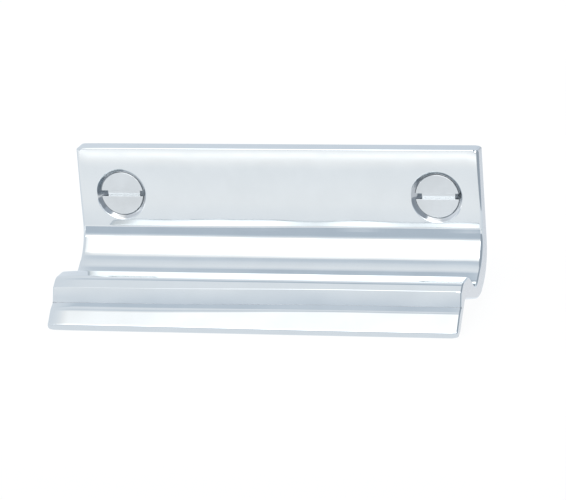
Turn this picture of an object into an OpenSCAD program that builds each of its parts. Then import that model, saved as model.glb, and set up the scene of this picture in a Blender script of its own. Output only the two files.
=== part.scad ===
/* [Lift] */
// Length of the lift along the sash rail
lift_length = 70; // [60:1:100]
// Thickness of the mounting plate
plate_t = 3.1; // [2.6:0.1:3.1]
// Height of the plate's top edge above the screw holes
plate_top = 8.2; // [7:0.1:12]
// Radius of the rounded corners at the plate's top, seen from the front
plate_corner_r = 0.6; // [0.4:0.1:2]
// Radius of the rounded corners at the lip's two ends, seen from the front
lip_corner_r = 0.6; // [0.2:0.1:1]

/* [Hook section] */
// Radius of the cove that turns the plate forward into the hook
cove_r = 6.7; // [5:0.1:6.8]
// Radius of the trough that the finger tips lie in
trough_r = 2.4; // [1.6:0.1:2.8]
// Radius on the back of the ridge
ridge_back_r = 3.4; // [2.6:0.1:4]
// Radius on the front of the ridge
ridge_front_r = 2.2; // [1.6:0.1:3]
// Radius of the corner between the ridge and the hook's front face
brow_r = 0.3; // [0.2:0.1:1.4]
// Radius of the inside corner where the front face flares out into the lip
flare_r = 0.3; // [0.2:0.1:1.3]
// Radius of the heel, where the back turns under the hook
heel_r = 7.8; // [6:0.1:8.4]
// Radius on the lip's free edge
lip_edge_r = 0.4; // [0.2:0.05:0.45]

/* [Screw holes] */
// Distance between the two screw holes
hole_spacing = 55; // [45:1:56]
// Diameter of the hole through the plate
hole_d = 4.8; // [4.4:0.1:5]
// Diameter of the countersink at the plate's front
countersink_d = 8.8; // [8.4:0.1:9]

/* [Screws] */
// Diameter of the countersunk head
head_d = 7.5; // [7.2:0.1:8]
// Height of the straight rim above the head's cone
head_rim = 0.15; // [0.1:0.05:0.3]
// Diameter of the plain shank
shank_d = 4; // [3.8:0.1:4.2]
// Length of the plain shank behind the plate
shank_length = 2.6; // [1:0.1:4]
// Length of the screw from the head's face to the point
screw_length = 20; // [16:1:25]
// Diameter over the thread
thread_d = 4; // [3.6:0.05:4.2]
// Distance between thread turns
thread_pitch = 1.8; // [1.4:0.1:2.2]
// Diameter of the core inside the thread
core_d = 2.8; // [2.6:0.1:3.1]
// Width of the screwdriver slot
slot_w = 1; // [0.8:0.1:1.2]
// Depth of the screwdriver slot
slot_depth = 1; // [0.8:0.1:1.2]
// Gap between the head's cone and the countersink
seat_gap = 0.03; // [0.02:0.01:0.1]

/* [Hidden] */
$fn = 96;
cut = 1;            // how far a cutting solid runs past the face that it cuts
arc_step = 6;       // degrees between the points of a rounded corner
edge_r = 0.35;      // rounding of the plate's back top edge
plate_edge_r = 0.2; // rounding of the plate's front top edge
neck_flare = 0.1;   // how much wider the screw is under its head than along its shank
thread_lead = 0.35; // gap between the last plain stretch and the first thread turn
point_length = 3.2; // length of the screw's tapered point

foot_r = 2;         // where the plate's flat front meets the cove
bow_r = 12;         // gentle curve of the slope into the trough
lip_r = 2;          // gentle curves of the lip's two faces

lip_top = [24.8, -16.25];   // upper edge of the lip's face: distance in front of the sash, height
lip_bottom = [24.4, -17.4]; // lower edge of the lip's face

// The section of the hook, from the side: distance in front of the sash, height, corner radius
hook_section = [
    [0, plate_top, edge_r],
    [plate_t, plate_top, plate_edge_r],
    [plate_t, -5.5, foot_r],            // foot of the plate's flat front
    [3.51, -8.6, cove_r],               // cove
    [6.2, -11.1, bow_r],                // slope down to the trough
    [10.0, -13.45, trough_r],           // trough
    [14.7, -9.72, ridge_back_r],        // ridge, back
    [18.8, -9.6, ridge_front_r],        // ridge, front
    [20.48, -10.78, brow_r],            // top of the front face
    [21.3, -13.18, flare_r],            // where the front face flares out into the lip
    [22.4, -13.86, lip_r],              // top of the lip
    [each lip_top, lip_edge_r],         // free edge of the lip
    [each lip_bottom, lip_edge_r],
    [22.6, -16.8, lip_r],               // underside of the lip
    [18.1, -12.8, 1.0],                 // hollow under the ridge
    [0, -18.5, heel_r]                  // heel
];

// Unit vector from one point towards another
function towards(from, to) = (to - from) / norm(to - from);
function xy(corner) = [corner[0], corner[1]];

// The arc that rounds one corner of an outline, as points from the side before to the side after
function corner_arc(before, corner, after) =
    let (a = towards(xy(corner), xy(before)),
         b = towards(xy(corner), xy(after)),
         half = acos(a * b) / 2,
         centre = xy(corner) + (a + b) / norm(a + b) * corner[2] / sin(half),
         start = xy(corner) + a * corner[2] / tan(half) - centre,
         turn = (180 - 2 * half) * sign(b[0] * a[1] - b[1] * a[0]),
         steps = max(2, ceil(abs(turn) / arc_step)))
    [for (i = [0 : steps])
        let (t = turn * i / steps)
        centre + [start[0] * cos(t) - start[1] * sin(t), start[0] * sin(t) + start[1] * cos(t)]];

// A closed outline of corners, each one rounded to its own radius
function rounded_outline(corners) =
    [for (i = [0 : len(corners) - 1])
        each corner_arc(corners[(i + len(corners) - 1) % len(corners)],
                        corners[i],
                        corners[(i + 1) % len(corners)])];

// The hook section swept along the sash rail
module hook_bar() {
    rotate([90, 0, -90])
        linear_extrude(lift_length, center = true)
            polygon(rounded_outline(hook_section));
}

// The lift's outline from the front, as a block that trims the bar's four corners
module front_outline_block() {
    half = lift_length / 2;
    translate([0, cut, 0])
        rotate([90, 0, 0])
            linear_extrude(lip_top[0] + 2 * cut)
                polygon(rounded_outline([
                    [-half, plate_top, plate_corner_r],
                    [half, plate_top, plate_corner_r],
                    [half, lip_bottom[1], lip_corner_r],
                    [-half, lip_bottom[1], lip_corner_r]
                ]));
}

// One screw hole with its countersink, cut from the front of the plate
module screw_hole() {
    depth = (countersink_d - hole_d) / 2;
    rotate([-90, 0, 0]) {
        translate([0, 0, -plate_t - cut])
            cylinder(d = hole_d, h = plate_t + 2 * cut);
        translate([0, 0, -plate_t])
            cylinder(d1 = countersink_d, d2 = hole_d, h = depth);
        translate([0, 0, -plate_t - cut])
            cylinder(d = countersink_d, h = cut);
    }
}

module lift() {
    color("lightsteelblue")
        difference() {
            intersection() {
                hook_bar();
                front_outline_block();
            }
            for (side = [-1, 1])
                translate([side * hole_spacing / 2, 0, 0])
                    screw_hole();
        }
}

// Half of the screw's outline: radius, and distance behind the sash face
function screw_outline() =
    let (cone = (head_d - shank_d) / 2 - neck_flare,
         top = -plate_t + (countersink_d - head_d) / 2 - head_rim - seat_gap * sqrt(2),
         point = top + screw_length,
         thread_start = shank_length + thread_lead,
         turns = floor((point - point_length - thread_start) / thread_pitch),
         thread_end = thread_start + turns * thread_pitch)
    [[0, top],
     [head_d / 2, top],
     [head_d / 2, top + head_rim],
     [shank_d / 2 + neck_flare, top + head_rim + cone],
     [shank_d / 2, 0],
     [shank_d / 2, shank_length],
     for (i = [0 : turns - 1])
        each [[core_d / 2, thread_start + i * thread_pitch],
              [thread_d / 2, thread_start + (i + 0.5) * thread_pitch]],
     [core_d / 2, thread_end],
     [0, point]];

// A slotted, countersunk wood screw, seated in its hole
module wood_screw(side) {
    top = screw_outline()[0][1];
    color("silver")
        translate([side * hole_spacing / 2, 0, 0])
            rotate([-90, 0, 0])
                difference() {
                    rotate_extrude()
                        polygon(screw_outline());
                    translate([-head_d, -slot_w / 2, top - cut])
                        cube([2 * head_d, slot_w, slot_depth + cut]);
                }
}

module screw_left() {
    wood_screw(-1);
}

module screw_right() {
    wood_screw(1);
}

lift();
screw_left();
screw_right();
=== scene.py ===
"""A hook sash lift in polished chrome with its two slotted wood screws, on a plain white studio floor.

Lengths are in millimetres and become metres when a mesh is made. The lift's section is drawn in the plane
(u, v): u is the distance in front of the sash rail, towards -Y, and v is the height.
"""

import math

import bmesh
import bpy
import numpy as np
from mathutils import Matrix, Vector
from mathutils.geometry import delaunay_2d_cdt


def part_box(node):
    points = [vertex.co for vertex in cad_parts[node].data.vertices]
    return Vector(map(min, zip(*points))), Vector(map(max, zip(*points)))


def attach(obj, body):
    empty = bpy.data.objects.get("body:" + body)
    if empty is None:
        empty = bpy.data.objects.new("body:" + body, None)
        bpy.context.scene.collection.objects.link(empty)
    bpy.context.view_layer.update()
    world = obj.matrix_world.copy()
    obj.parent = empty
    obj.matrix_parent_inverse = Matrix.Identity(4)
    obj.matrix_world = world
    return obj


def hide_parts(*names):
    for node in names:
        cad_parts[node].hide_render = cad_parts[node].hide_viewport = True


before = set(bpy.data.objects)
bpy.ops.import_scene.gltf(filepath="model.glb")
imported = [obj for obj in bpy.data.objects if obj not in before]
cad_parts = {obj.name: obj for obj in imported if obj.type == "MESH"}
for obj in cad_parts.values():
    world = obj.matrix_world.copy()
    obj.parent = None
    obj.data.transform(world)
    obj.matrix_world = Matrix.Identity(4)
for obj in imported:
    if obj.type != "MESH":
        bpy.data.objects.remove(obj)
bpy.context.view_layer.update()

MM = 0.001
TOUCHING = 1e-8  # points this close in metres are one

# -------------------------------------------------------------------------------- the lift's sizes
lift_low, lift_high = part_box("lift")
HALF_LENGTH = lift_high.x / MM
PLATE_TOP = lift_high.z / MM
PLATE_T = 3.1
HOLE_X = (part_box("screw_right")[0].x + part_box("screw_right")[1].x) / 2 / MM
HOLE_R = 2.4
COUNTERSINK_R = 4.4

# The section along the left part of the lift: distance in front of the sash, height, corner radius
SECTION_LEFT = [
    (0.0, PLATE_TOP, 0.35),
    (PLATE_T, PLATE_TOP, 0.2),
    (PLATE_T, -5.65, 2.0),  # foot of the plate
    (3.51, -8.6, 6.7),  # cove
    (6.2, -11.1, 12.0),  # slope down to the trough
    (10.0, -13.45, 2.4),  # trough
    (14.7, -9.72, 3.4),  # ridge, back
    (18.8, -9.6, 2.2),  # ridge, front
    (20.65, -10.9, 0.03),  # brow, at the top of the front face
    (21.47, -13.3, 0.02),  # where the front face flares out into the lip
    (22.62, -13.99, 4.0),  # shoulder of the lip
    (24.8, -16.2, 0.4),  # free edge of the lip
    (24.4, -17.4, 0.4),
    (22.6, -16.8, 2.0),  # underside of the lip
    (18.1, -12.8, 1.0),  # hollow under the ridge
    (0.0, -18.5, 7.8),  # heel
]
FOOT, BROW, FLARE, SHOULDER, LIP_TOP, LIP_BOTTOM = 2, 8, 9, 10, 11, 12  # places of some corners in the list
# These corners lie elsewhere along the right part
MOVED_AT_RIGHT = {
    FOOT: (PLATE_T, -5.35, 2.0),
    BROW: (20.3, -10.65, 0.12),
    FLARE: (21.11, -13.05, 0.02),
    SHOULDER: (22.2, -13.73, 2.0),
    LIP_TOP: (24.78, -16.32, 0.4),
}
TURNS_AT = (-22.0, 16.0)  # the left section changes slowly into the right one between these places

END_EDGE_R = 0.5  # rounding of the plate's end edges
HOOK_END_EDGE_R = 0.3  # rounding of the hook's end edges
SOFT_CORNER_R = 0.62  # the least radius of the section's outside corners at the ends
SOFTENS_OVER = 0.6  # the length over which they soften before the end edge's rounding starts
HOOK_SOFTENS = 0.5  # how far they have softened already where the hook's left end falls away
ROLL_OFF = 0.06  # how far the polished faces fall away towards their ends
ROLL_WIDTH = 2.1  # the length over which they do
HOOK_ROLL_OFF = 0.25  # the same for the hook's left end, which was polished away the most
HOOK_ROLL_WIDTH = 5.4
CROWN = 0.1  # the polished plate stands this proud in its middle
CROWN_MIDDLE = 1.8  # height of the crown's middle
CROWN_REACH = 9.5  # from its middle to its foot
TOP_FALL = 0.0033  # how far it falls away again towards its top edge
TOP_FALL_FROM = 6.5  # height from which it does
WAVES = [  # the polish's slow hills: height, length, phase in turns, radians of turn per mm across the lift
    (0.005, 66, 0.20, 0.25),
    (0.003, 29, -0.31, -0.40),
    (0.0012, 13, 0.55, 0.80),
]
WAVES_CALM = 0.85  # the share of them that is missing near the plate's top
CALM_FROM, CALM_OVER = 1.0, 5.0  # height where they start to calm, and over what distance
FOOT_WAVE, FOOT_WAVE_LENGTH = 0.02, 19  # one more wave, at the plate's foot along its right half
FOOT_WAVE_MIDDLE, FOOT_WAVE_SPREAD = -7.5, 2.2  # its height on the plate
FOOT_WAVE_FROM, FOOT_WAVE_OVER = -8, 16  # where along the lift it starts, and over what distance it grows
PLATE_CORNER_R = 0.6  # rounded corners of the plate, seen from the front
LIP_CORNER_R = 0.6  # rounded corners of the lip
PATCH = 5.0  # half side of the square of mesh round each hole
PATCH_STEPS = 40  # mesh steps along each of its sides
PATCH_FRONT = (0.12, 0.26, 0.42, 0.58, 0.74, 0.88, 0.96)  # where its rings lie, from the square to the hole
PATCH_BACK = (0.05, 0.15, 0.32, 0.5, 0.68, 0.85)  # and at the back, from the hole to the square

LONG_STEP = 1.8  # mesh spacing along the lift
FLAT_STEP = 0.4  # mesh spacing across its flat stretches
ARC_TURN = 0.055  # radians between mesh rows round its curves
LEAST_ARC_STEPS = 4
END_STEPS = 9  # mesh steps round its end edges
ROLL_STEPS = 12  # mesh steps between an end edge and a hole's patch
HOOK_STARTS, HOOK_BLEND = 6.0, 8.0  # where the plate's finish gives way to the hook's, and over what distance
LIP_STARTS, LIP_BLEND = 21.3, 1.5  # where the lip starts, and over what distance its ends become crisper
LIP_CRISPER = 0.6  # the share of the hook's roll-off that the lip goes without
UPRIGHT = (1, 15)  # the corners that the plate's upright front and back start from
UPRIGHT_STEPS = 8  # mesh steps above and below the hole patch
CHROME, GROUND, BORED, DULL_AND_SHADED = range(4)  # the lift's materials, in the order that build_lift gets them
CAP_INSET = 0.05  # the end faces' triangles start this far inside their edges
CAP_STEP = 0.7  # and are about this large
HOLD = 0.03  # a row this close to each curve keeps the flat stretch beside it flat

# --------------------------------------------------------------------------- mesh building helpers


def unit(v):
    return v / np.linalg.norm(v)


def smooth_step(t):
    t = np.clip(t, 0, 1)
    return t * t * (3 - 2 * t)


def make_object(name, points, faces, materials, face_materials=None):
    """A smooth-shaded object from points in millimetres. Its faces are turned to point outwards."""
    mesh = bpy.data.meshes.new(name)
    mesh.from_pydata((np.asarray(points) * MM).tolist(), [], faces)
    for material in materials:
        mesh.materials.append(material)
    if face_materials is not None:
        mesh.polygons.foreach_set("material_index", face_materials)
    made = bmesh.new()
    made.from_mesh(mesh)
    bmesh.ops.remove_doubles(made, verts=made.verts, dist=TOUCHING)
    bmesh.ops.delete(made, geom=[vert for vert in made.verts if not vert.link_faces], context="VERTS")
    bmesh.ops.recalc_face_normals(made, faces=made.faces)
    made.to_mesh(mesh)
    made.free()
    mesh.shade_smooth()
    obj = bpy.data.objects.new(name, mesh)
    bpy.context.scene.collection.objects.link(obj)
    return obj


def bridge(ring_a, ring_b):
    """Quads between two closed rings of vertex numbers."""
    n = len(ring_a)
    return [(ring_a[k], ring_a[(k + 1) % n], ring_b[(k + 1) % n], ring_b[k]) for k in range(n)]


# ------------------------------------------------------------------------------ the lift's section


def corner_arc(before, corner, after, steps):
    """Points and outward normals of the arc that rounds one corner of a clockwise outline."""
    here = np.array(corner[:2])
    to_before = unit(np.array(before[:2]) - here)
    to_after = unit(np.array(after[:2]) - here)
    half = math.acos(np.clip(to_before @ to_after, -1, 1)) / 2
    centre = here + unit(to_before + to_after) * corner[2] / math.sin(half)
    turn = (math.pi - 2 * half) * np.sign(to_before[1] * to_after[0] - to_before[0] * to_after[1])
    first = math.atan2(-to_before[0], to_before[1])
    angles = first + turn * np.arange(steps + 1) / steps
    normals = np.stack([np.cos(angles), np.sin(angles)], axis=1)
    side = -np.sign(turn)
    return centre + side * corner[2] * normals, normals


def arc_steps(before, corner, after):
    """How many mesh steps a corner's arc gets."""
    here = np.array(corner[:2])
    cosine = unit(np.array(before[:2]) - here) @ unit(np.array(after[:2]) - here)
    return max(LEAST_ARC_STEPS, math.ceil((math.pi - math.acos(np.clip(cosine, -1, 1))) / ARC_TURN))


def straight_stretch(start, end, steps):
    """Points strictly between two ends, with a row close to each, and the row where a hole's patch starts."""
    along = unit(end - start)
    first, last = start + along * HOLD, end - along * HOLD
    upright = math.isclose(start[0], end[0], abs_tol=1e-6)
    crosses_patch = min(start[1], end[1]) < -PATCH and max(start[1], end[1]) > PATCH
    if not (upright and crosses_patch):
        return first + (last - first) * np.arange(steps + 1)[:, None] / steps, None
    mark = math.copysign(PATCH, start[1])
    beside = np.column_stack([np.full(PATCH_STEPS + 1, start[0]), np.linspace(mark, -mark, PATCH_STEPS + 1)])
    lead = first + (beside[0] - first) * np.arange(steps)[:, None] / steps
    tail = beside[-1] + (last - beside[-1]) * np.arange(1, steps + 1)[:, None] / steps
    return np.concatenate([lead, beside, tail]), len(lead)


def section_outline(corners):
    """The whole section: points, outward normals, the first rows of the holes' patches, and the flare's rows.

    Every shape of section gets the same rows, so that shapes can be mixed.
    """
    count = len(corners)
    arcs = []
    for i in range(count):
        three = (i - 1, i, (i + 1) % count)
        steps = arc_steps(*(SECTION_LEFT[k] for k in three))
        arcs.append(corner_arc(*(corners[k] for k in three), steps))
    points, normals, patch_rows, first_rows = [], [], [], []
    for i, (arc_points, arc_normals) in enumerate(arcs):
        after = (i + 1) % count
        first_rows.append(sum(len(p) for p in points))
        points.append(arc_points)
        normals.append(arc_normals)
        so_far = sum(len(p) for p in points)
        span = np.linalg.norm(np.subtract(SECTION_LEFT[i][:2], SECTION_LEFT[after][:2]))
        steps = UPRIGHT_STEPS if i in UPRIGHT else math.ceil(span / FLAT_STEP)
        stretch, patch = straight_stretch(arc_points[-1], arcs[after][0][0], steps)
        if patch is not None:
            patch_rows.append(so_far + patch)
        points.append(stretch)
        normals.append(np.repeat(arc_normals[-1:], len(stretch), axis=0))
    crease = (first_rows[FLARE] - 1, first_rows[FLARE] + len(arcs[FLARE][0]))
    return np.concatenate(points), np.concatenate(normals), patch_rows, crease


def softened(corners):
    """The same section with no outside corner sharper than what the ends' roundings take off it."""
    return [(u, v, r if k == FLARE else max(r, SOFT_CORNER_R)) for k, (u, v, r) in enumerate(corners)]


def section_shapes():
    """The left and right section as they are in the middle of the lift, then both as they are at its ends."""
    right = [MOVED_AT_RIGHT.get(number, corner) for number, corner in enumerate(SECTION_LEFT)]
    corner_lists = (SECTION_LEFT, right, softened(SECTION_LEFT), softened(right))
    return [section_outline(corners) for corners in corner_lists]


def section_at(x, shapes):
    """Points and normals of the section at a place along the lift."""
    right = smooth_step((x - TURNS_AT[0]) / (TURNS_AT[1] - TURNS_AT[0]))
    distance = HALF_LENGTH - abs(x)
    end = smooth_step(1 - (distance - END_EDGE_R) / SOFTENS_OVER)
    if x < 0:
        end = max(end, HOOK_SOFTENS * np.clip(1 - distance / HOOK_ROLL_WIDTH, 0, 1) ** 2)
    shares = ((1 - right) * (1 - end), right * (1 - end), (1 - right) * end, right * end)
    points = sum(share * shape[0] for share, shape in zip(shares, shapes))
    normals = sum(share * shape[1] for share, shape in zip(shares, shapes))
    return points, normals / np.linalg.norm(normals, axis=1, keepdims=True)


def stations():
    """Places along the lift as (x, angle of the end edge's rounding), and where each hole's patch starts."""
    end = [(HALF_LENGTH, a) for a in np.radians(np.linspace(90, 0, END_STEPS + 1))]
    roll = np.linspace(HALF_LENGTH - END_EDGE_R, HOLE_X + PATCH, ROLL_STEPS + 1)[1:-1]
    patch = np.linspace(HOLE_X + PATCH, HOLE_X - PATCH, PATCH_STEPS + 1)
    inner = HOLE_X - PATCH
    middle = np.linspace(inner, -inner, math.ceil(2 * inner / LONG_STEP) + 1)[1:-1]
    right = end + [(x, None) for x in [*roll, *patch]]
    left = [(-x, a) for x, a in right]
    # the list runs from -X to +X
    places = left + [(-x, None) for x in middle] + [(x, a) for x, a in reversed(right)]
    first_left = len(end) + len(roll)
    first_right = len(places) - len(right)
    return places, first_left, first_right


def roll_off(x, u):
    """How far the polished faces have fallen away at places along the lift."""
    hook = smooth_step((u - HOOK_STARTS) / HOOK_BLEND) * (x < 0)
    share = hook * (1 - LIP_CRISPER * smooth_step((u - LIP_STARTS) / LIP_BLEND))
    depth = ROLL_OFF + share * (HOOK_ROLL_OFF - ROLL_OFF)
    width = ROLL_WIDTH + share * (HOOK_ROLL_WIDTH - ROLL_WIDTH)
    return depth * np.clip(1 - (HALF_LENGTH - np.abs(x)) / width, 0, 1) ** 2


LIP_DIRECTION = unit(np.subtract(SECTION_LEFT[LIP_TOP][:2], SECTION_LEFT[SHOULDER][:2]))
LIP_EDGE_TAKES = 0.1  # the free edge's rounding makes the lip this much shorter
LIP_REACH = np.array(SECTION_LEFT[LIP_BOTTOM][:2]) @ LIP_DIRECTION - LIP_EDGE_TAKES
FRONT_CORNERS = [  # radius, direction towards the edge, and where the edge lies along it
    (PLATE_CORNER_R, np.array([0.0, 1.0]), PLATE_TOP),
    (LIP_CORNER_R, LIP_DIRECTION, LIP_REACH),
]


def square_to_round(a, b):
    """Carries the unit square's corner onto a quarter circle, leaving the sides a = 0 and b = 0 alone."""
    inside = (a > 0) & (b > 0)
    new_a = np.where(inside, a * np.sqrt(np.clip(1 - b * b / 2, 0, 1)), a)
    new_b = np.where(inside, b * np.sqrt(np.clip(1 - a * a / 2, 0, 1)), b)
    return new_a, new_b


def round_front_corners(points):
    """Rounds the plate's top corners and the lip's corners. Points are rows of (x, u, v)."""
    out = points.copy()
    for radius, direction, edge in FRONT_CORNERS:
        along = out[:, 1:] @ direction
        a = (np.abs(out[:, 0]) - (HALF_LENGTH - radius)) / radius
        b = (along - (edge - radius)) / radius
        new_a, new_b = square_to_round(a, np.minimum(b, 1.0))
        moved = (a > 0) & (b > 0)
        side = np.sign(out[:, 0])
        out[:, 0] = np.where(moved, side * (HALF_LENGTH - radius + new_a * radius), out[:, 0])
        shift = np.where(moved, (new_b - np.minimum(b, 1.0)) * radius, 0.0)
        out[:, 1:] += shift[:, None] * direction
    return out


def end_weight(points, normals):
    """1 where the end edge is rounded, falling to 0 on the faces that a rounded front corner carries on."""
    weight = np.ones(len(points))
    for radius, direction, edge in FRONT_CORNERS:
        near = smooth_step((points @ direction - (edge - radius)) / radius)
        weight *= 1 - near * np.clip(normals @ direction, 0, 1) ** 2
    return weight


# --------------------------------------------------------------------------------- the lift's mesh


def polish_waves(x, u, v):
    """Slow hills that hand polishing leaves, two hundredths of a millimetre high at the plate's foot."""
    run = u - v
    calm = 1 - WAVES_CALM * smooth_step((v - CALM_FROM) / CALM_OVER)
    hills = 0
    for height, length, phase, turn in WAVES:
        hills = hills + height * np.sin(2 * math.pi * (x / length + phase) + turn * run)
    at_foot = np.exp(-(((v - FOOT_WAVE_MIDDLE) / FOOT_WAVE_SPREAD) ** 2))
    at_right = smooth_step((x - FOOT_WAVE_FROM) / FOOT_WAVE_OVER)
    foot_wave = FOOT_WAVE * at_foot * at_right * np.sin(2 * math.pi * x / FOOT_WAVE_LENGTH)
    return foot_wave + calm * hills


def crown(u, v):
    """How far the plate's front stands proud: most in its middle, and a little less near its top."""
    reach = np.clip((v - CROWN_MIDDLE) / CROWN_REACH, -1, 1)
    fall = TOP_FALL * np.clip((v - TOP_FALL_FROM) / (PLATE_TOP - TOP_FALL_FROM), 0, 1) ** 2
    return (CROWN * (1 + np.cos(math.pi * reach)) / 2 - fall) * smooth_step(u / PLATE_T)


RIM_R, THROAT_R, BACK_R = 0.4, 0.15, 0.2  # roundings of the hole's three edges
RIM_STEPS, CONE_STEPS, THROAT_STEPS, BACK_STEPS = 5, 8, 3, 4


def hole_outline():
    """The hole's wall from the front face to the back face, as (radius, u)."""
    eighth = math.pi / 4
    reach = RIM_R * math.tan(eighth / 2)
    outline = []
    for k in range(RIM_STEPS + 1):
        t = eighth * k / RIM_STEPS
        outline.append((COUNTERSINK_R + reach - RIM_R * math.sin(t), PLATE_T - RIM_R * (1 - math.cos(t))))
    depth = COUNTERSINK_R - HOLE_R
    low = THROAT_R * math.tan(eighth / 2)
    cone_end = (HOLE_R + low * math.cos(eighth), PLATE_T - depth + low * math.sin(eighth))
    start = outline[-1]
    for k in range(1, CONE_STEPS):
        t = k / CONE_STEPS
        outline.append((start[0] + (cone_end[0] - start[0]) * t, start[1] + (cone_end[1] - start[1]) * t))
    for k in range(THROAT_STEPS + 1):
        t = eighth * (1 - k / THROAT_STEPS)
        u = PLATE_T - depth - low + THROAT_R * math.sin(t)
        outline.append((HOLE_R + THROAT_R * (1 - math.cos(t)), u))
    for k in range(BACK_STEPS + 1):
        t = math.pi / 2 * k / BACK_STEPS
        outline.append((HOLE_R + BACK_R * (1 - math.cos(t)), BACK_R * (1 - math.sin(t))))
    return outline


def lift_ring(x, angle, shapes):
    """One ring of the lift's mesh, as rows of (x, u, v), and its outward normals."""
    section, normals = section_at(x, shapes)
    u, v = section.T
    edge_r = np.where(u > HOOK_STARTS, HOOK_END_EDGE_R, END_EDGE_R)
    if angle is None:
        places = np.full(len(u), x)
        rounding = 0.0
    else:
        places = np.sign(x) * (HALF_LENGTH - edge_r * (1 - math.sin(angle)))
        rounding = edge_r * (1 - math.cos(angle))
    inset = (rounding + roll_off(places, u)) * end_weight(section, normals)
    ring = section - normals * (inset - polish_waves(places, u, v))[:, None]
    ring[:, 0] += crown(u, v)
    return np.column_stack([places, ring]), normals


def hole_ring(flat, u):
    """A ring round a hole from its (x, v) points; it follows the plate's crown and waves at the front."""
    x, v = flat.T
    proud = crown(PLATE_T, v) + polish_waves(x, PLATE_T, v)
    back = polish_waves(x, 0.0, v)
    share = u / PLATE_T
    return np.column_stack([x, u + share * proud - (1 - share) * back, v])


def rings_of_hole(square_front, square_back, hole_x):
    """The mesh rings from the square on the plate's front, through the hole, to the square at its back.

    Each ring comes with the material of the faces between it and the ring before.
    """
    count = 4 * PATCH_STEPS
    angles = math.radians(135) - 2 * math.pi * np.arange(count) / count
    circle = np.stack([np.cos(angles), np.sin(angles)], axis=1)
    outline = hole_outline()
    front_rim = circle * outline[0][0] + (hole_x, 0)
    back_rim = circle * outline[-1][0] + (hole_x, 0)
    rings = [hole_ring(square_front + (front_rim - square_front) * t, PLATE_T) for t in PATCH_FRONT]
    rings += [hole_ring(circle * radius + (hole_x, 0), u) for radius, u in outline]
    rings += [hole_ring(back_rim + (square_back - back_rim) * t, 0.0) for t in PATCH_BACK]
    wall_starts = len(PATCH_FRONT) + RIM_STEPS
    wall_ends = len(PATCH_FRONT) + len(outline)
    return [(ring, BORED if wall_starts <= k <= wall_ends else CHROME) for k, ring in enumerate(rings)]


def patch_loop(vertex, station, top_row, bottom_row):
    """The square of vertices round a hole, clockwise from its upper left corner as seen from the front."""
    steps = PATCH_STEPS
    down = 1 if bottom_row > top_row else -1
    loop = [vertex(station + k, top_row) for k in range(steps)]
    loop += [vertex(station + steps, top_row + down * k) for k in range(steps)]
    loop += [vertex(station + steps - k, bottom_row) for k in range(steps)]
    loop += [vertex(station, bottom_row - down * k) for k in range(steps)]
    return loop


def fill_outline(outline):
    """Triangles that fill a closed outline. Its own points come first in the result."""
    count = len(outline)
    low, high = outline.min(0), outline.max(0)
    grid = [
        (u, v)
        for u in np.arange(low[0], high[0], CAP_STEP)
        for v in np.arange(low[1], high[1], CAP_STEP)
        if np.min(np.linalg.norm(outline - (u, v), axis=1)) > CAP_STEP / 2
    ]
    flat = [Vector(p) for p in outline] + [Vector(p) for p in grid]
    edges = [(k, (k + 1) % count) for k in range(count)]
    made, _, triangles, origins, _, _ = delaunay_2d_cdt(flat, edges, [], 1, 1e-7)
    order = {}
    for new, sources in enumerate(origins):
        for source in sources:
            if source < count:
                order[new] = source
    extra = [new for new in range(len(made)) if new not in order]
    for place, new in enumerate(extra):
        order[new] = count + place
    filled = np.concatenate([outline, np.array([made[k] for k in extra]).reshape(-1, 2)])
    return filled, [tuple(order[k] for k in face) for face in triangles]


class Shell:
    """A mesh in the making: blocks of points as (x, u, v), and faces with the numbers of their materials."""

    def __init__(self):
        self.points = []
        self.count = 0
        self.faces = []
        self.materials = []

    def add_points(self, points):
        """Adds a block of points and returns their numbers."""
        self.points.append(points)
        self.count += len(points)
        return list(range(self.count - len(points), self.count))

    def add_faces(self, faces, material):
        self.faces += faces
        self.materials += [material] * len(faces)


def add_sweep(shell, vertex, lengths, rows, patches, crease):
    """The faces between the swept sections, apart from the squares round the holes.

    vertex gives a point's number from its station along the lift and its row round the section.
    """
    cut = set()
    for station, row in patches:
        cut |= {(station + i, row + j) for i in range(PATCH_STEPS) for j in range(PATCH_STEPS)}
    for i in range(lengths):
        for j in range(rows):
            if (i, j) not in cut:
                quad = (vertex(i, j), vertex(i, j + 1), vertex(i + 1, j + 1), vertex(i + 1, j))
                # the faces in the flare's crease get a material that is rougher, so duller, and whose darker
                # tint is painted shade
                shell.add_faces([quad], DULL_AND_SHADED if crease[0] <= j < crease[1] else CHROME)


def add_hole(shell, square_front, square_back, hole_x):
    """The plate's faces round one hole, and the hole's wall."""
    grid = shell.points[0]
    previous = square_front
    for ring, material in rings_of_hole(grid[square_front][:, [0, 2]], grid[square_back][:, [0, 2]], hole_x):
        numbers = shell.add_points(ring)
        shell.add_faces(bridge(previous, numbers), material)
        previous = numbers
    shell.add_faces(bridge(previous, square_back), CHROME)


def add_end_face(shell, edge, outline, x):
    """Closes one end of the sweep. The edge holds the numbers of its last ring of points."""
    flat_points, triangles = fill_outline(outline)
    numbers = shell.add_points(np.column_stack([np.full(len(flat_points), x), flat_points]))
    shell.add_faces(bridge(edge, numbers[: len(edge)]), GROUND)
    shell.add_faces([tuple(numbers[k] for k in triangle) for triangle in triangles], GROUND)


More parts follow.
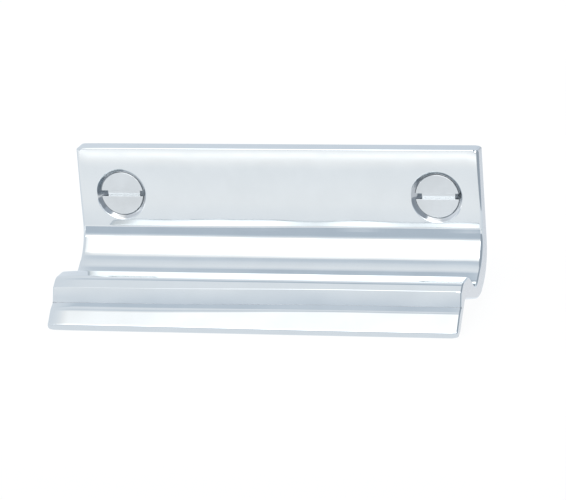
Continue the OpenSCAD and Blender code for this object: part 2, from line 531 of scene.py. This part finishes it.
def build_lift(materials):
    shapes = section_shapes()
    rows = len(shapes[0][0])
    (front_row, back_row), crease = shapes[0][2:]
    places, first_left, first_right = stations()
    rings = [lift_ring(x, angle, shapes) for x, angle in places]

    def vertex(station, row):
        return station * rows + row % rows

    shell = Shell()
    shell.add_points(np.concatenate([ring for ring, _ in rings]))
    patches = [(station, row) for station in (first_left, first_right) for row in (front_row, back_row)]
    add_sweep(shell, vertex, len(places) - 1, rows, patches, crease)
    for station, hole_x in ((first_left, -HOLE_X), (first_right, HOLE_X)):
        square_front = patch_loop(vertex, station, front_row, front_row + PATCH_STEPS)
        square_back = patch_loop(vertex, station, back_row + PATCH_STEPS, back_row)
        add_hole(shell, square_front, square_back, hole_x)
    for station in (0, len(places) - 1):
        ring, normals = rings[station]
        edge = [vertex(station, j) for j in range(rows)]
        end_x = math.copysign(HALF_LENGTH, places[station][0])
        add_end_face(shell, edge, ring[:, 1:] - normals * CAP_INSET, end_x)

    x, u, v = round_front_corners(np.concatenate(shell.points)).T
    return make_object("lift_polished", np.column_stack([x, -u, v]), shell.faces, materials, shell.materials)


# -------------------------------------------------------------------------------------- the screws
screw_low, screw_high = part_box("screw_left")
HEAD_R = (screw_high.x - screw_low.x) / 2 / MM
HEAD_FACE = screw_low.y / MM
SCREW_LENGTH = screw_high.y / MM - HEAD_FACE
HEAD_RIM = 0.15  # height of the head's straight rim
HEAD_EDGE_R = 0.06  # rounding of the head's front edge
CONE_EDGE = 0.03  # bevel between the rim and the cone
SHANK_R = 2.0
NECK_FLARE = 0.1  # how much wider the screw is under its head than along its shank
SHANK_END = -HEAD_FACE + 2.6  # depth below the head's face where the plain shank ends
SHANK_TO_CORE = 0.5  # the length over which the shank narrows to the thread's core
CORE_R = 1.4
THREAD_R = 2.0
PITCH = 1.8
FLANK = 0.26  # half the width of the thread's foot, in pitches
CREST = 0.88  # height of the thread's flat crest, as a share of a sharp one's
THREAD_STARTS, THREAD_GROWS = 0.3, 1.4  # where it starts below the shank, and over what length it grows
POINT_LENGTH = 3.2
POINT_POWER = 0.8  # how blunt the point is
POINT_THREAD = 1.25  # how far the thread runs on down the point
SLOT_W = 1.0
SLOT_DEPTH = 1.0
SLOT_RUN_OUT = 0.5  # how far the block that cuts the slot stands above the head's face
SLOT_BEVEL = 0.05
BEVEL_FROM = math.radians(60)  # edges that turn further than this are bevelled
SHARP_FROM = math.radians(19)  # and edges that turn further than this aren't shaded smooth
AROUND = 96  # mesh points round the screw
THREAD_STEP = 0.1  # mesh spacing along the thread


def screw_radius(depth, angle):
    """The screw's radius at a depth below its head's face. Its thread is a right-hand helix that runs out."""
    point = np.clip((SCREW_LENGTH - depth) / POINT_LENGTH, 0, 1)
    core = CORE_R * np.sin(point * math.pi / 2) ** POINT_POWER
    lead = smooth_step((depth - SHANK_END) / SHANK_TO_CORE)
    core = SHANK_R + (core - SHANK_R) * lead
    turn = (depth / PITCH + angle / (2 * math.pi)) % 1.0
    flank = np.clip(1 - np.abs(turn - 0.5) / FLANK, 0, 1)
    crest = np.minimum(flank, CREST) / CREST
    height = (THREAD_R - CORE_R) * np.clip((depth - SHANK_END - THREAD_STARTS) / THREAD_GROWS, 0, 1)
    return core + height * crest * np.clip(point * POINT_THREAD, 0.0, 1)


def head_rings():
    """The head and plain shank as rings of (depth, radius), from the middle of the head's face downwards."""
    neck = SHANK_R + NECK_FLARE
    cone_end = HEAD_RIM + HEAD_R - neck
    edge_cut = 0.3 * HEAD_EDGE_R
    rings = [(0.0, radius) for radius in (0.35, 1.2, 2.2, 3.2, HEAD_R - HEAD_EDGE_R)]
    rings += [(edge_cut, HEAD_R - edge_cut), (HEAD_EDGE_R, HEAD_R), (HEAD_RIM - CONE_EDGE, HEAD_R)]
    rings += [(HEAD_RIM + CONE_EDGE, HEAD_R - CONE_EDGE)]
    for t in (0.25, 0.5, 0.75, 1.0):
        rings.append((HEAD_RIM + t * (cone_end - HEAD_RIM), HEAD_R + t * (neck - HEAD_R)))
    rings += [(-HEAD_FACE + t, SHANK_R) for t in (0.0, 0.7, 1.4, 2.1, SHANK_END + HEAD_FACE)]
    return rings


def build_screw(name, centre_x, bright):
    angles = 2 * math.pi * np.arange(AROUND) / AROUND
    blocks = [(depth, np.full(AROUND, radius)) for depth, radius in head_rings()]
    threaded = np.arange(SHANK_END + THREAD_STEP, SCREW_LENGTH - THREAD_STEP / 5, THREAD_STEP)
    blocks += [(depth, screw_radius(depth, angles)) for depth in threaded]
    points = [
        np.column_stack(
            [centre_x + radius * np.cos(angles), np.full(AROUND, HEAD_FACE + depth), radius * np.sin(angles)]
        )
        for depth, radius in blocks
    ]
    faces = []
    for k in range(len(points) - 1):
        upper = [k * AROUND + j for j in range(AROUND)]
        lower = [number + AROUND for number in upper]
        faces += bridge(upper, lower)
    total = len(points) * AROUND
    points += [np.array([[centre_x, HEAD_FACE, 0.0]]), np.array([[centre_x, HEAD_FACE + SCREW_LENGTH, 0.0]])]
    faces += [(k, (k + 1) % AROUND, total) for k in range(AROUND)]
    last = total - AROUND
    faces += [(last + k, last + (k + 1) % AROUND, total + 1) for k in range(AROUND)]
    screw = make_object(name, np.concatenate(points), faces, [bright])
    cut_slot(screw, centre_x)
    return screw


def cut_slot(screw, centre_x):
    """Cuts the screwdriver slot and takes the sharpness off its edges."""
    reach = 1.3 * HEAD_R  # the block that cuts runs past the head on both sides
    corners = [
        (x, y, z)
        for x in (centre_x - reach, centre_x + reach)
        for y in (HEAD_FACE - SLOT_RUN_OUT, HEAD_FACE + SLOT_DEPTH)
        for z in (-SLOT_W / 2, SLOT_W / 2)
    ]
    sides = [(0, 1, 3, 2), (4, 6, 7, 5), (0, 4, 5, 1), (2, 3, 7, 6), (0, 2, 6, 4), (1, 5, 7, 3)]
    cutter = make_object("slot_cutter", corners, sides, [])
    boolean = screw.modifiers.new("slot", "BOOLEAN")
    boolean.operation = "DIFFERENCE"
    boolean.solver = "EXACT"
    boolean.object = cutter
    bevel = screw.modifiers.new("edges", "BEVEL")
    bevel.width = SLOT_BEVEL * MM
    bevel.segments = 2
    bevel.limit_method = "ANGLE"
    bevel.angle_limit = BEVEL_FROM
    depsgraph = bpy.context.evaluated_depsgraph_get()
    finished = bpy.data.meshes.new_from_object(screw.evaluated_get(depsgraph))
    screw.modifiers.clear()
    screw.data = finished
    bpy.data.objects.remove(cutter)
    finished.shade_smooth()
    finished.set_sharp_from_angle(angle=SHARP_FROM)


# ----------------------------------------------------------------------------------- the materials


def new_material(name):
    material = bpy.data.materials.new(name)
    material.use_nodes = True
    material.node_tree.nodes.clear()
    return material, material.node_tree


def add(tree, kind, inputs=None, **settings):
    """A node with its settings and its inputs' values or links."""
    node = tree.nodes.new(kind)
    for key, value in settings.items():
        setattr(node, key, value)
    for key, value in (inputs or {}).items():
        if isinstance(value, bpy.types.NodeSocket):
            tree.links.new(value, node.inputs[key])
        else:
            node.inputs[key].default_value = value
    return node


TURNED = "turned"  # the grain of surfaces whose marks run round a hole's axis
TURNED_SCALE = (5500, 5500, 1)
CLOUD_SCALE = 210.0
CLOUD_SPAN = {"From Min": 0.3, "From Max": 0.7}  # the part of the noise's range that is used
SMOOTHEST, ROUGHEST = 0.7, 1.5  # the roughness varies between these shares of a metal's own


def rings_round_holes(tree, place):
    """Coordinates for marks that run round the nearer screw hole: distance from its axis, and depth."""
    parts = add(tree, "ShaderNodeSeparateXYZ", {"Vector": place}).outputs
    distance = add(tree, "ShaderNodeMath", {0: parts["X"]}, operation="ABSOLUTE").outputs["Value"]
    across = add(tree, "ShaderNodeMath", {0: distance, 1: HOLE_X * MM}, operation="SUBTRACT").outputs["Value"]
    flat = add(tree, "ShaderNodeCombineXYZ", {"X": across, "Y": parts["Z"]}).outputs["Vector"]
    radius = add(tree, "ShaderNodeVectorMath", {0: flat}, operation="LENGTH").outputs["Value"]
    return add(tree, "ShaderNodeCombineXYZ", {"X": radius, "Y": parts["Y"]}).outputs["Vector"]


def metal(name, tint, roughness, scratch, grain, cloud):
    """Plated metal with fine scratches along one direction, and faint clouds in its tone and roughness."""
    material, tree = new_material(name)
    place = add(tree, "ShaderNodeTexCoord").outputs["Object"]
    along = rings_round_holes(tree, place) if grain is TURNED else place
    scale = TURNED_SCALE if grain is TURNED else grain
    stretched = add(tree, "ShaderNodeMapping", {"Vector": along, "Scale": scale}).outputs["Vector"]
    fine = {"Vector": stretched, "Scale": 1.0, "Detail": 3.0, "Roughness": 0.6}
    lines = add(tree, "ShaderNodeTexNoise", fine).outputs["Fac"]
    coarse = {"Vector": place, "Scale": CLOUD_SCALE, "Detail": 4.0, "Roughness": 0.55}
    clouds = add(tree, "ShaderNodeTexNoise", coarse).outputs["Fac"]
    smoothest, roughest = roughness * SMOOTHEST, roughness * ROUGHEST
    rough_range = {"Value": clouds, **CLOUD_SPAN, "To Min": smoothest, "To Max": roughest}
    rough = add(tree, "ShaderNodeMapRange", rough_range).outputs["Result"]
    shade_range = {"Value": clouds, **CLOUD_SPAN, "To Min": 1.0 - cloud, "To Max": 1.0}
    shade = add(tree, "ShaderNodeMapRange", shade_range).outputs["Result"]
    colour = add(tree, "ShaderNodeVectorMath", {0: tint, "Scale": shade}, operation="SCALE").outputs["Vector"]
    height = {"Height": lines, "Strength": 1.0, "Distance": scratch * MM}
    bump = add(tree, "ShaderNodeBump", height).outputs["Normal"]
    surface = add(
        tree,
        "ShaderNodeBsdfPrincipled",
        {
            "Base Color": colour,
            "Metallic": 1.0,
            "Roughness": rough,
            "Normal": bump,
        },
    )
    out = add(tree, "ShaderNodeOutputMaterial")
    tree.links.new(surface.outputs["BSDF"], out.inputs["Surface"])
    return material


# --------------------------------------------------------------------------------------- the stage


RAMP_TOP = 4.0  # a colour ramp holds levels up to 1, so brightness is divided by this inside it


def ramp(tree, value, low, high, stops):
    """Brightness along a scale from low to high: stops are (position, brightness)."""
    place = add(tree, "ShaderNodeMapRange", {"Value": value, "From Min": low, "From Max": high})
    node = add(tree, "ShaderNodeValToRGB", {"Fac": place.outputs["Result"]})
    elements = node.color_ramp.elements
    while len(elements) > 1:
        elements.remove(elements[-1])
    for number, (position, level) in enumerate(stops):
        at = (position - low) / (high - low)
        element = elements[0] if number == 0 else elements.new(at)
        element.position = at
        element.color = (level / RAMP_TOP, level / RAMP_TOP, level / RAMP_TOP, 1)
    whole = {0: node.outputs["Color"], 1: RAMP_TOP}
    return add(tree, "ShaderNodeMath", whole, operation="MULTIPLY").outputs["Value"]


DIM, BRIGHT = 0.75, 1.25  # the levels where the tint is full and where it has gone
COOL = (0.89, 1.0, 1.13, 1)


def cool_tint(tree, level):
    """White where it is bright, and faintly blue where it is dim."""
    span = {"Value": level, "From Min": DIM, "From Max": BRIGHT, "To Min": 1.0, "To Max": 0.0}
    share = add(tree, "ShaderNodeMapRange", span).outputs["Result"]
    tint = add(tree, "ShaderNodeMix", {"Factor": share}, data_type="RGBA")
    tint.inputs["A"].default_value = (1.0, 1.0, 1.0, 1)
    tint.inputs["B"].default_value = COOL
    tinted = {0: tint.outputs["Result"], "Scale": level}
    return add(tree, "ShaderNodeVectorMath", tinted, operation="SCALE").outputs["Vector"]


WHITE = 3.0  # brightness of the studio's soft lights
WORLD_STOPS = [  # degrees up from the horizon in front, over the top and down behind; brightness
    (0, 0.70),
    (15, 1.1),
    (19, 1.5),
    (20.5, WHITE),
    (67, WHITE),
    (69, 1.8),
    (71, 1.55),
    (73, 1.38),
    (76, 1.16),
    (78, 0.88),
    (79.5, 0.84),
    (82, 0.90),
    (84, 1.0),
    (91, 1.11),
    (93.5, 1.13),
    (95.4, 1.02),
    (97.6, 0.84),
    (98.6, 0.70),
    (101, 0.62),
    (104, 0.66),
    (110, 0.9),
    (118, 1.08),
    (140, 1.06),
    (155, 0.88),
    (180, 0.86),
]
# Where the studio's light fades to another level at the sides: from and to, in degrees (left is negative)
LEFT_SIDE, LEFT_LEVEL = (-13, -27), 1.02
RIGHT_SIDE, RIGHT_LEVEL = (14, 24), 0.7
DEGREES = 180 / math.pi


def side_mix(tree, degrees, level, start, end, beyond):
    """Fades a level to another one as an angle goes from start to end."""
    soft = {"interpolation_type": "SMOOTHSTEP"}
    share = add(tree, "ShaderNodeMapRange", {"Value": degrees, "From Min": start, "From Max": end}, **soft)
    mixed = add(tree, "ShaderNodeMix", {"Factor": share.outputs["Result"], "A": level}, data_type="FLOAT")
    mixed.inputs["B"].default_value = beyond
    return mixed.outputs["Result"]


def build_world():
    world = bpy.data.worlds.new("studio")
    world.use_nodes = True
    tree = world.node_tree
    tree.nodes.clear()
    direction = add(tree, "ShaderNodeTexCoord").outputs["Generated"]
    parts = add(tree, "ShaderNodeSeparateXYZ", {"Vector": direction}).outputs
    forward = add(tree, "ShaderNodeMath", {0: parts["Y"], 1: -1.0}, operation="MULTIPLY").outputs["Value"]
    angle = add(tree, "ShaderNodeMath", {0: parts["Z"], 1: forward}, operation="ARCTAN2").outputs["Value"]
    degrees = add(tree, "ShaderNodeMath", {0: angle, 1: DEGREES}, operation="MULTIPLY").outputs["Value"]
    level = ramp(tree, degrees, 0, 180, WORLD_STOPS)
    sideways = add(tree, "ShaderNodeMath", {0: parts["X"]}, operation="ARCSINE").outputs["Value"]
    aside = add(tree, "ShaderNodeMath", {0: sideways, 1: DEGREES}, operation="MULTIPLY").outputs["Value"]
    level = side_mix(tree, aside, level, *LEFT_SIDE, LEFT_LEVEL)
    level = side_mix(tree, aside, level, *RIGHT_SIDE, RIGHT_LEVEL)
    seen = add(tree, "ShaderNodeLightPath").outputs["Is Camera Ray"]
    white = {"Color": (1, 1, 1, 1), "Strength": 1.0}
    backdrop = add(tree, "ShaderNodeBackground", white).outputs["Background"]
    lit = add(tree, "ShaderNodeBackground", {"Color": cool_tint(tree, level)}).outputs["Background"]
    mixed = add(tree, "ShaderNodeMixShader", {0: seen, 1: lit, 2: backdrop}).outputs["Shader"]
    out = add(tree, "ShaderNodeOutputWorld")
    tree.links.new(mixed, out.inputs["Surface"])
    bpy.context.scene.world = world


FLOOR_GAP = 0.02  # the floor lies this far below the lift
FLOOR_REACH = 3000  # and runs this far to every side
FLOOR_SEEN = 0.93  # the floor's own white as the camera sees it; its soft shading adds the rest
SOFT_GREY = (0.08, 0.08, 0.08, 1)
CARD_Y = -100.0  # a card stands on the floor in front of the lift, seen only in its reflections
CARD_SIDES = (-95.0, 90.0)
FLOOR_STOPS = [  # place along Y, which is negative in front; brightness
    (-100, 1.8),
    (-98, 1.62),
    (-95, 1.36),
    (-92, 1.23),
    (-86, 1.15),
    (-75, 1.16),
    (-50, 1.19),
    (-42, 1.14),
    (-28, 1.06),
    (0, 1.04),
    (30, 0.95),
    (100, 0.95),
]
CARD_STOPS = [  # height; brightness
    (-18, 1.8),
    (-16, 1.15),
    (-13.5, 0.72),
    (5, 0.72),
    (10, 0.78),
    (13, 0.88),
    (15, 1.02),
    (17, 1.12),
    (20, 1.24),
    (22, 1.4),
    (24, 2.2),
    (25.5, WHITE),
    (30, WHITE),
]
DARK_CARD_X = 56.0  # a dark card to the right of the lift, seen only in its reflections
DARK_CARD_SIDES = (-70.0, 25.0)
DARK_CARD_BOTTOM, DARK_CARD_TOP = -9.0, 60.0
DARK_CARD_LEVEL = 0.5


def stage_plane(name, corners, material):
    mesh = bpy.data.meshes.new(name)
    mesh.from_pydata([Vector(c) * MM for c in corners], [], [(0, 1, 2, 3)])
    mesh.materials.append(material)
    obj = bpy.data.objects.new(name, mesh)
    bpy.context.scene.collection.objects.link(obj)
    return obj


def glow(name, axis, stops, seen_strength):
    """A surface whose light follows its place along one axis; the camera sees it as plain white."""
    material, tree = new_material(name)
    place = add(tree, "ShaderNodeTexCoord").outputs["Object"]
    in_mm = {0: place, "Scale": 1 / MM}
    scaled = add(tree, "ShaderNodeVectorMath", in_mm, operation="SCALE").outputs["Vector"]
    along = add(tree, "ShaderNodeSeparateXYZ", {"Vector": scaled}).outputs[axis]
    level = ramp(tree, along, stops[0][0], stops[-1][0], stops)
    lit = add(tree, "ShaderNodeEmission", {"Color": cool_tint(tree, level)}).outputs["Emission"]
    white = {"Color": (1, 1, 1, 1), "Strength": seen_strength}
    plain = add(tree, "ShaderNodeEmission", white).outputs["Emission"]
    soft = add(tree, "ShaderNodeBsdfDiffuse", {"Color": SOFT_GREY}).outputs["BSDF"]
    both = add(tree, "ShaderNodeAddShader", {0: plain, 1: soft}).outputs["Shader"]
    seen = add(tree, "ShaderNodeLightPath").outputs["Is Camera Ray"]
    mixed = add(tree, "ShaderNodeMixShader", {0: seen, 1: lit, 2: both}).outputs["Shader"]
    out = add(tree, "ShaderNodeOutputMaterial")
    tree.links.new(mixed, out.inputs["Surface"])
    return material


def build_stage():
    floor_z = lift_low.z / MM - FLOOR_GAP
    far = FLOOR_REACH
    floor_corners = [(-far, -far, floor_z), (far, -far, floor_z), (far, far, floor_z), (-far, far, floor_z)]
    stage_plane("floor", floor_corners, glow("floor_white", "Y", FLOOR_STOPS, FLOOR_SEEN))
    left, right = CARD_SIDES
    top = CARD_STOPS[-1][0]
    card_corners = [
        (left, CARD_Y, floor_z),
        (right, CARD_Y, floor_z),
        (right, CARD_Y, top),
        (left, CARD_Y, top),
    ]
    card = stage_plane("front_card", card_corners, glow("card_light", "Z", CARD_STOPS, 1.0))
    near, back = DARK_CARD_SIDES
    dark_corners = [
        (DARK_CARD_X, near, DARK_CARD_BOTTOM),
        (DARK_CARD_X, back, DARK_CARD_BOTTOM),
        (DARK_CARD_X, back, DARK_CARD_TOP),
        (DARK_CARD_X, near, DARK_CARD_TOP),
    ]
    dark_stops = [(DARK_CARD_BOTTOM, DARK_CARD_LEVEL), (DARK_CARD_TOP, DARK_CARD_LEVEL)]
    dark_card = stage_plane("dark_card", dark_corners, glow("dark_card_grey", "Z", dark_stops, 1.0))
    for unseen in (card, dark_card):
        unseen.visible_camera = False
        unseen.visible_shadow = False


# -------------------------------------------------------------------------------------- the camera
CAMERA_AZIMUTH = math.radians(16.6436)
CAMERA_ELEVATION = math.radians(17.1984)
CAMERA_ROLL = math.radians(-4.2335)
CAMERA_DISTANCE = 590.752
CAMERA_SHIFT = (0.1877, -10.0458)  # where the camera stands from the origin, along its own right and up
SENSOR_WIDTH = 36.0
CAMERA_LENS = 222.83


def build_camera():
    side, up = CAMERA_AZIMUTH, CAMERA_ELEVATION
    back = Vector((math.sin(side) * math.cos(up), -math.cos(side) * math.cos(up), math.sin(up)))
    right = Vector((math.cos(side), math.sin(side), 0))
    above = back.cross(right)
    turn = Matrix((right, above, back)).transposed() @ Matrix.Rotation(-CAMERA_ROLL, 3, "Z").transposed()
    data = bpy.data.cameras.new("camera")
    data.sensor_width = SENSOR_WIDTH
    data.lens = CAMERA_LENS
    data.clip_start = 0.01
    data.clip_end = 20
    camera = bpy.data.objects.new("camera", data)
    place = turn @ Vector((CAMERA_SHIFT[0], CAMERA_SHIFT[1], CAMERA_DISTANCE))
    camera.matrix_world = Matrix.Translation(place * MM) @ turn.to_4x4()
    bpy.context.scene.collection.objects.link(camera)
    bpy.context.scene.camera = camera


# ------------------------------------------------------------------------------------ put together
# Tint, roughness, depth of the scratches, their fineness along X, Y and Z, and cloudiness
polished = metal("lift_chrome", (0.64, 0.672, 0.69), 0.05, 0.00025, (60, 900, 900), 0.03)
ground_ends = metal("lift_end_faces", (0.62, 0.62, 0.625), 0.2, 0.002, (2500, 2500, 160), 0.08)
bored = metal("lift_bores", (0.60, 0.62, 0.64), 0.11, 0.004, TURNED, 0.30)
# the flare's crease: rougher and duller than the chrome, and its darker tint is painted shade
dull_and_shaded_crease = metal("lift_crease_dull_and_painted_shade", (0.50, 0.53, 0.56), 0.42, 0.004, (300, 2500, 2500), 0.35)
bright = metal("screw_chrome", (0.60, 0.63, 0.65), 0.10, 0.005, TURNED, 0.12)

lift = build_lift([polished, ground_ends, bored, dull_and_shaded_crease])
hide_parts("lift")
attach(lift, "lift")

for side, centre in (("left", -HOLE_X), ("right", HOLE_X)):
    screw = build_screw("wood_screw_" + side, centre, bright)
    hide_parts("screw_" + side)
    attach(screw, "screw_" + side)

build_world()
build_stage()
build_camera()
bpy.context.scene.view_settings.view_transform = "Standard"
